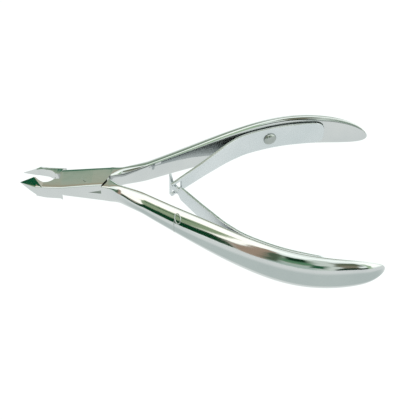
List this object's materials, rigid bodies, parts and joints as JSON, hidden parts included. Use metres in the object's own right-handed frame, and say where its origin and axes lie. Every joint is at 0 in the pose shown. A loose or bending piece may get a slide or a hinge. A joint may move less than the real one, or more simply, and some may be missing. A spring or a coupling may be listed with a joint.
{
  "type": "cuticle nipper",
  "caption": "Hand nipper with two lapped halves on a pivot rivet, short angled jaws, bowed handles and interlocking leaf springs that hold it open.",
  "frame": {"origin": "middle of the bounding box's underside, at rest with the halves fully open", "axes": "+X from the jaws to the handle ends, +Z along the pivot axis, up through the lap joint's upper plate, +Y towards the right handle"},
  "size_m": [0.1018, 0.064, 0.011],
  "materials": {
    "polished_steel": "mirror polished, with fine scratches",
    "rivet_steel": "polished",
    "spring_steel": "fine satin along the leaf"
  },
  "bodies": {
    "left_half": {"left_half": "polished_steel", "pivot_rivet": "rivet_steel", "left_spring_rivet": "rivet_steel"},
    "right_half": {"right_half": "polished_steel", "right_spring_rivet": "rivet_steel"},
    "left_spring": {"left_spring": "spring_steel"},
    "right_spring": {"right_spring": "spring_steel"}
  },
  "joints": [
    {"name": "squeeze", "type": "hinge", "parent": "left_half", "child": "right_half", "pos_m": [-0.03105, 0, 0.0055], "axis": [0, 0, -1], "range_deg": [0, 11.5], "stiffness_Nm_per_rad": 1.5, "deforming": ["left_spring", "right_spring"]},
    {"name": "right_spring_flex", "type": "hinge", "parent": "right_half", "child": "right_spring", "pos_m": [0.01075, 0.019, 0.0055], "axis": [0, 0, -1], "range_deg": [0, 7.1], "deforming": ["right_spring"]},
    {"name": "left_spring_flex", "type": "hinge", "parent": "left_half", "child": "left_spring", "pos_m": [0.01075, -0.019, 0.0055], "axis": [0, 0, -1], "range_deg": [-7.1, 0], "deforming": ["left_spring"]}
  ],
  "couplings": [
    {"joint": "right_spring_flex", "follows": "squeeze", "ratio": 0.61},
    {"joint": "left_spring_flex", "follows": "squeeze", "ratio": -0.61}
  ]
}
